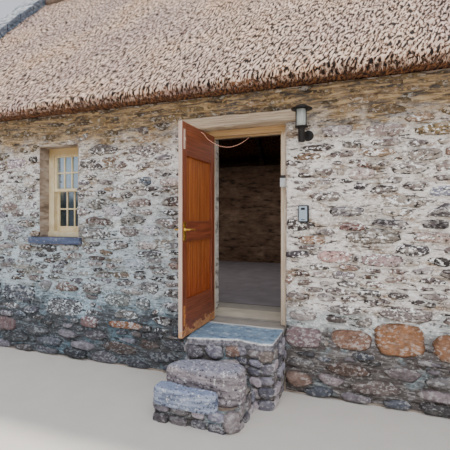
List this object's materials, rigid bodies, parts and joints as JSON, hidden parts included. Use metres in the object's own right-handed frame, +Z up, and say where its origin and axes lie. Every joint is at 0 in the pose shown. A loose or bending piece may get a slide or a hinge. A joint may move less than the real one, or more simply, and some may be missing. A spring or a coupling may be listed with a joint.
{
  "type": "thatched cottage",
  "caption": "Single-storey rubble stone cottage with a thatched roof between raised gables, sash windows and a boarded door that opens outwards.",
  "frame": {"origin": "on the lowest ground, under the middle of the doorway, on the outer face of the front wall", "axes": "+X along the front wall, to the right as seen from outside; +Y into the house; +Z up"},
  "size_m": [11.54, 7.34, 7.3584],
  "materials": {
    "rubble_stone": "matte",
    "coping_stone": "matte",
    "thatch": "matte",
    "roof_timber": "matte",
    "weathered_timber": "matte",
    "floor": "matte",
    "slate": "satin",
    "step_stone": "matte",
    "window_paint": "satin",
    "window_glass": "gloss",
    "door_frame_paint": "satin",
    "door_wood": "satin",
    "door_board_wood": "satin",
    "brass": "satin",
    "black_metal": "satin",
    "frosted_glass": "satin",
    "grey_plastic": "matte",
    "cord": "matte"
  },
  "bodies": {
    "house": {"front_wall_left": "rubble_stone", "front_wall_right": "rubble_stone", "front_wall_over_door": "rubble_stone", "back_wall": "rubble_stone", "left_gable": "rubble_stone", "right_gable": "rubble_stone", "chimney_stack": "rubble_stone", "entrance_base": "rubble_stone", "left_coping": "coping_stone", "right_coping_front": "coping_stone", "right_coping_back": "coping_stone", "front_thatch": "thatch", "back_thatch": "thatch", "ridge_thatch": "thatch", "couple_1": "roof_timber", "couple_2": "roof_timber", "couple_3": "roof_timber", "couple_4": "roof_timber", "front_purlin": "roof_timber", "back_purlin": "roof_timber", "ridge_pole": "roof_timber", "door_lintel_inside": "roof_timber", "door_lintel": "weathered_timber", "floor": "floor", "door_slab": "slate", "upper_step": "step_stone", "lower_step": "step_stone", "front_left_window": "window_paint", "front_left_window_glass": "window_glass", "front_left_window_sill": "slate", "front_right_window": "window_paint", "front_right_window_glass": "window_glass", "front_right_window_sill": "slate", "back_left_window": "window_paint", "back_left_window_glass": "window_glass", "back_left_window_sill": "slate", "back_right_window": "window_paint", "back_right_window_glass": "window_glass", "back_right_window_sill": "slate", "door_frame": "door_frame_paint", "lower_hinge_on_frame": "black_metal", "upper_hinge_on_frame": "black_metal", "lantern": "black_metal", "key_safe": "black_metal", "lantern_glass": "frosted_glass", "bell_box": "grey_plastic"},
    "door": {"door_frame_and_rails": "door_wood", "door_boards": "door_board_wood", "door_handles": "brass", "flush_bolt_top": "brass", "flush_bolt_bottom": "brass", "lower_hinge_on_door": "black_metal", "upper_hinge_on_door": "black_metal", "door_cord": "cord"}
  },
  "joints": [
    {"name": "door_hinge", "type": "hinge", "parent": "house", "child": "door", "pos_m": [-0.3825, 0.092, 1.5], "axis": [0, 0, 1], "range_deg": [-15, 90]}
  ]
}
